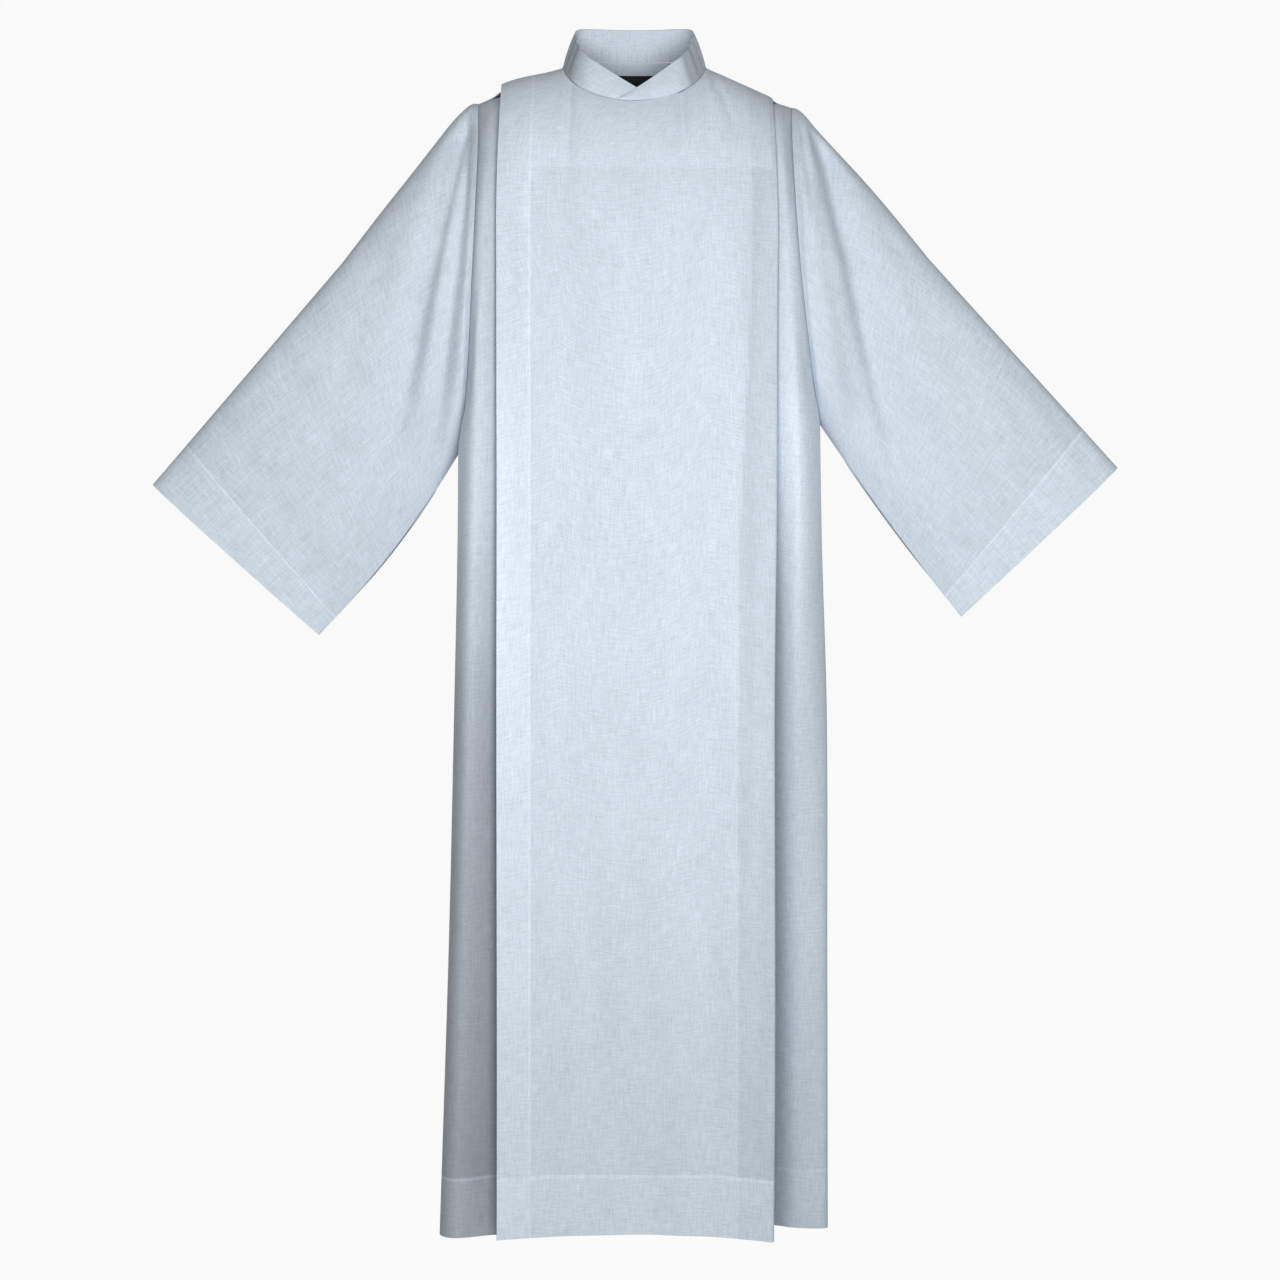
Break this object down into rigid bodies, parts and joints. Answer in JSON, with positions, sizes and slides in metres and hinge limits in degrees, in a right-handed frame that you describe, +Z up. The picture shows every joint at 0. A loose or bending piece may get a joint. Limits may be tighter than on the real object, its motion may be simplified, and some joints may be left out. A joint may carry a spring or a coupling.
{
  "type": "wrap alb",
  "caption": "Long white wrap-front robe with a crossed stand collar, wide straight sleeves and pleated sides, filled out and hollow",
  "frame": {"origin": "inside the neck, midway between the two points where the shoulder seams meet the collar", "axes": "+X towards the wearer's left, +Y towards the wearer's back, +Z up"},
  "size_m": [1.204, 0.2664, 1.4982],
  "materials": {
    "front_wrap": "matt linen-look weave, slightly sheer",
    "front_under": "matt linen-look weave, slightly sheer",
    "back": "matt linen-look weave, slightly sheer",
    "sleeve_left": "matt linen-look weave, slightly sheer",
    "sleeve_right": "matt linen-look weave, slightly sheer",
    "collar": "matt linen-look weave, slightly sheer",
    "wrap_facing": "matt linen-look weave, slightly sheer",
    "yoke_facing": "matt linen-look weave, slightly sheer",
    "neck_tape": "matt linen-look weave, slightly sheer"
  },
  "bodies": {
    "root": {"front_wrap": "front_wrap", "front_under": "front_under", "back": "back", "sleeve_left": "sleeve_left", "sleeve_right": "sleeve_right", "collar": "collar", "wrap_facing": "wrap_facing", "yoke_facing": "yoke_facing", "neck_tape": "neck_tape"}
  },
  "joints": []
}
